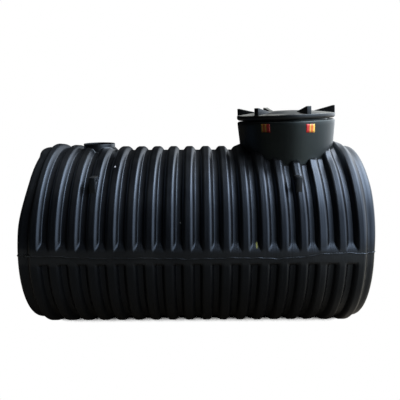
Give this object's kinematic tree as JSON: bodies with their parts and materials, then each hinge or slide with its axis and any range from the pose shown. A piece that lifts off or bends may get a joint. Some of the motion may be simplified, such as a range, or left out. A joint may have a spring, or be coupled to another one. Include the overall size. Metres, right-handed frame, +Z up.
{
  "type": "septic tank",
  "caption": "Horizontal ribbed plastic septic tank with a tapered manhole neck, a domed lid with grips, an inlet collar and lifting lugs.",
  "frame": {"origin": "on the floor under the middle of the barrel, halfway along it", "axes": "+X along the barrel towards the manhole neck, -Y towards the front, +Z up"},
  "size_m": [2.18, 1.2, 1.4598],
  "materials": {
    "wall": "satin black polyethylene",
    "neck": "satin black polyethylene",
    "lid": "dull black polyethylene, dusty",
    "fitting": "satin black polyethylene"
  },
  "bodies": {
    "tank": {"keel_front": "wall", "keel_rear": "wall", "haunch_front": "wall", "haunch_rear": "wall", "bilge_front": "wall", "bilge_rear": "wall", "waist_low_front": "wall", "waist_low_rear": "wall", "waist_high_front": "wall", "waist_high_rear": "wall", "flank_front": "wall", "flank_rear": "wall", "shoulder_front": "wall", "shoulder_rear": "wall", "crown_left": "wall", "crown_middle": "wall", "crown_right": "wall", "left_end": "wall", "right_end": "wall", "neck_stave_1": "neck", "neck_stave_2": "neck", "neck_stave_3": "neck", "neck_stave_4": "neck", "neck_stave_5": "neck", "neck_stave_6": "neck", "neck_stave_7": "neck", "neck_stave_8": "neck", "inlet_collar": "fitting", "lug_front_left": "fitting", "lug_front_right": "fitting", "lug_rear_left": "fitting", "lug_rear_right": "fitting"},
    "lid": {"lid": "lid", "lid_grip_1": "lid", "lid_grip_2": "lid", "lid_grip_3": "lid", "lid_grip_4": "lid", "lid_grip_5": "lid", "lid_grip_6": "lid"}
  },
  "joints": [
    {"name": "lid_lift", "type": "slide", "parent": "tank", "child": "lid", "axis": [-0.0366, 0, 0.9993], "range_m": [0, 0.5]}
  ]
}
